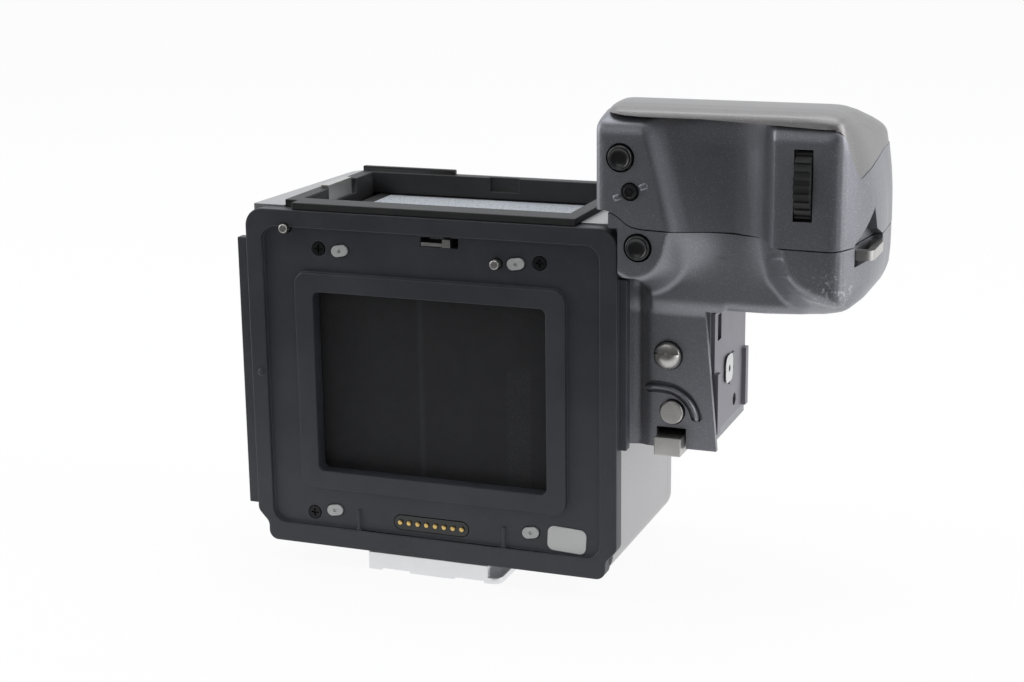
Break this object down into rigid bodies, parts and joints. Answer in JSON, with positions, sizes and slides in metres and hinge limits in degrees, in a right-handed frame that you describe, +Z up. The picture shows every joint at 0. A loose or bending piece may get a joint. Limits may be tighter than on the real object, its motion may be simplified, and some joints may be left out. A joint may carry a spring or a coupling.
{
  "type": "medium format digital camera",
  "caption": "Boxy medium format reflex camera body with a side grip, seen without lens, finder, digital back and battery grip.",
  "frame": {"origin": "centre of the tripod socket on the base face", "axes": "+X to the grip side, +Y out of the lens mount, +Z up"},
  "size_m": [0.1538, 0.0657, 0.1172],
  "materials": {
    "plate_paint": "satin blue-black paint",
    "cover_paint": "fine metallic grey paint",
    "grip_paint": "metallic grey paint on plastic",
    "top_paint": "light grey metallic paint on plastic",
    "black_casting": "black anodised",
    "steel": "brushed",
    "black_steel": "blackened",
    "ring_chrome": "satin chrome",
    "pinion_brass": "machined",
    "column_metal": "satin anodised",
    "mirror_silver": "first surface mirror",
    "screen_glass": "matte ground glass",
    "window_glass": "clear",
    "panel_plastic": "grey green display",
    "blind_cloth": "fine black cloth",
    "button_black": "glossy",
    "button_red": "glossy",
    "dial_rubber": "ribbed",
    "pad_plastic": "worn pale plastic",
    "board_green": "circuit board"
  },
  "bodies": {
    "camera": {"rear_plate": "plate_paint", "left_cover": "cover_paint", "right_cover": "cover_paint", "bottom_cover": "cover_paint", "front_panel": "cover_paint", "grip_upper_shell": "grip_paint", "grip_lower_shell": "grip_paint", "grip_top_cover": "top_paint", "body_casting": "black_casting", "screen_frame": "black_casting", "finder_frame": "black_casting", "tripod_plate": "steel", "strap_lugs": "steel", "dial_axles": "steel", "drive_motor": "steel", "rear_plate_screws": "black_steel", "battery_side_screws": "black_steel", "tripod_plate_screws": "black_steel", "lens_mount_screws": "black_steel", "lens_mount_ring": "ring_chrome", "battery_side_plate": "column_metal", "focusing_screen": "screen_glass", "display_window": "window_glass", "display_panel": "panel_plastic", "shutter_blind": "blind_cloth", "contact_block": "button_black", "lens_contacts": "button_black", "focus_sensor": "button_black", "magazine_pads": "pad_plastic", "grip_board": "board_green", "main_board": "board_green"},
    "mirror": {"mirror_carrier": "black_casting", "mirror_glass": "mirror_silver", "mirror_axle": "steel", "mirror_gear": "black_steel"},
    "second_mirror": {"sub_mirror": "mirror_silver"},
    "pinion": {"drive_pinion": "pinion_brass"},
    "roller_left": {"blind_roller_left": "steel"},
    "roller_right": {"blind_roller_right": "steel"},
    "lock_pin": {"lens_lock_pin": "steel"},
    "lens_release": {"lens_release_button": "button_black"},
    "stop_down": {"stop_down_button": "button_black"},
    "mirror_up": {"mirror_up_button": "button_black"},
    "hook": {"magazine_hook": "steel"},
    "pin_left": {"magazine_pin_left": "steel"},
    "pin_right": {"magazine_pin_right": "steel"},
    "contacts": {"contact_pins": "pinion_brass"},
    "catch": {"finder_catch": "steel"},
    "focus": {"focus_button": "button_black"},
    "select": {"select_button": "button_black"},
    "exposure_lock": {"exposure_lock_button": "button_black"},
    "battery_lock": {"battery_lock_button": "steel"},
    "battery_release": {"battery_release_button": "steel"},
    "latch": {"battery_latch": "steel"},
    "on_off": {"on_off_button": "button_red"},
    "shutter": {"shutter_release": "button_black"},
    "menu": {"menu_button": "button_black"},
    "drive": {"drive_button": "button_black"},
    "dial_rear": {"rear_dial": "dial_rubber"},
    "dial_front": {"front_dial": "dial_rubber"}
  },
  "joints": [
    {"name": "mirror_swing", "type": "hinge", "parent": "camera", "child": "mirror", "pos_m": [0, -0.018, 0.07], "axis": [1, 0, 0], "range_deg": [0, 45]},
    {"name": "second_mirror_fold", "type": "hinge", "parent": "mirror", "child": "second_mirror", "pos_m": [0, -0.00456, 0.05232], "axis": [1, 0, 0], "range_deg": [0, 90]},
    {"name": "pinion_turn", "type": "hinge", "parent": "camera", "child": "pinion", "pos_m": [-0.033, 0.00501, 0.05202], "axis": [1, 0, 0], "range_deg": [-283.5, 0]},
    {"name": "roller_left_turn", "type": "hinge", "parent": "camera", "child": "roller_left", "pos_m": [-0.0376, -0.0256, 0.047], "axis": [0, 0, 1], "range_deg": [0, 1320]},
    {"name": "roller_right_turn", "type": "hinge", "parent": "camera", "child": "roller_right", "pos_m": [0.0376, -0.0256, 0.047], "axis": [0, 0, 1], "range_deg": [0, 1320]},
    {"name": "lens_release_press", "type": "slide", "parent": "camera", "child": "lens_release", "axis": [0, -1, 0], "range_m": [0, 0.001], "stiffness_N_per_m": 400, "springref_m": -0.0005},
    {"name": "lock_pin_travel", "type": "slide", "parent": "camera", "child": "lock_pin", "axis": [0, -1, 0], "range_m": [0, 0.0015]},
    {"name": "stop_down_press", "type": "slide", "parent": "camera", "child": "stop_down", "axis": [0, -1, 0], "range_m": [0, 0.001], "stiffness_N_per_m": 400, "springref_m": -0.0005},
    {"name": "mirror_up_press", "type": "slide", "parent": "camera", "child": "mirror_up", "axis": [0, -1, 0], "range_m": [0, 0.001], "stiffness_N_per_m": 400, "springref_m": -0.0005},
    {"name": "hook_travel", "type": "slide", "parent": "camera", "child": "hook", "axis": [1, 0, 0], "range_m": [0, 0.0015], "stiffness_N_per_m": 600, "springref_m": -0.0005},
    {"name": "pin_left_travel", "type": "slide", "parent": "camera", "child": "pin_left", "axis": [0, 1, 0], "range_m": [0, 0.0012], "stiffness_N_per_m": 300, "springref_m": -0.0005},
    {"name": "pin_right_travel", "type": "slide", "parent": "camera", "child": "pin_right", "axis": [0, 1, 0], "range_m": [0, 0.0012], "stiffness_N_per_m": 300, "springref_m": -0.0005},
    {"name": "contacts_travel", "type": "slide", "parent": "camera", "child": "contacts", "axis": [0, 1, 0], "range_m": [0, 0.0006], "stiffness_N_per_m": 400, "springref_m": -0.0005},
    {"name": "catch_travel", "type": "slide", "parent": "camera", "child": "catch", "axis": [0, 1, 0], "range_m": [0, 0.0025], "stiffness_N_per_m": 300, "springref_m": -0.0005},
    {"name": "focus_press", "type": "slide", "parent": "camera", "child": "focus", "axis": [0, 1, 0], "range_m": [0, 0.0008], "stiffness_N_per_m": 400, "springref_m": -0.0005},
    {"name": "select_press", "type": "slide", "parent": "camera", "child": "select", "axis": [0, 1, 0], "range_m": [0, 0.0008], "stiffness_N_per_m": 400, "springref_m": -0.0005},
    {"name": "exposure_lock_press", "type": "slide", "parent": "camera", "child": "exposure_lock", "axis": [0, 1, 0], "range_m": [0, 0.0008], "stiffness_N_per_m": 400, "springref_m": -0.0005},
    {"name": "battery_lock_press", "type": "slide", "parent": "camera", "child": "battery_lock", "axis": [0, 1, 0], "range_m": [0, 0.0012], "stiffness_N_per_m": 400, "springref_m": -0.0005},
    {"name": "battery_release_press", "type": "slide", "parent": "camera", "child": "battery_release", "axis": [0, 1, 0], "range_m": [0, 0.0012], "stiffness_N_per_m": 500, "springref_m": -0.0005},
    {"name": "latch_lift", "type": "slide", "parent": "camera", "child": "latch", "axis": [0, 0, 1], "range_m": [0, 0.0012]},
    {"name": "on_off_press", "type": "slide", "parent": "camera", "child": "on_off", "axis": [0, -0.2756, -0.9613], "range_m": [0, 0.0007], "stiffness_N_per_m": 400, "springref_m": -0.0005},
    {"name": "shutter_press", "type": "slide", "parent": "camera", "child": "shutter", "axis": [0, -0.2756, -0.9613], "range_m": [0, 0.001], "stiffness_N_per_m": 400, "springref_m": -0.0005},
    {"name": "menu_press", "type": "slide", "parent": "camera", "child": "menu", "axis": [0, -0.2756, -0.9613], "range_m": [0, 0.0007], "stiffness_N_per_m": 400, "springref_m": -0.0005},
    {"name": "drive_press", "type": "slide", "parent": "camera", "child": "drive", "axis": [0, -0.2756, -0.9613], "range_m": [0, 0.0007], "stiffness_N_per_m": 400, "springref_m": -0.0005},
    {"name": "rear_dial_turn", "type": "hinge", "parent": "camera", "child": "dial_rear", "pos_m": [0.089, -0.0247, 0.1012], "axis": [1, 0, 0], "continuous": true},
    {"name": "front_dial_turn", "type": "hinge", "parent": "camera", "child": "dial_front", "pos_m": [0.074, 0.0156, 0.0952], "axis": [1, 0, 0], "continuous": true}
  ],
  "couplings": [
    {"joint": "second_mirror_fold", "follows": "mirror_swing", "ratio": 2},
    {"joint": "pinion_turn", "follows": "mirror_swing", "ratio": -6.3},
    {"joint": "roller_right_turn", "follows": "roller_left_turn", "ratio": 1},
    {"joint": "lock_pin_travel", "follows": "lens_release_press", "ratio": 1.5},
    {"joint": "latch_lift", "follows": "battery_release_press", "ratio": 1}
  ]
}
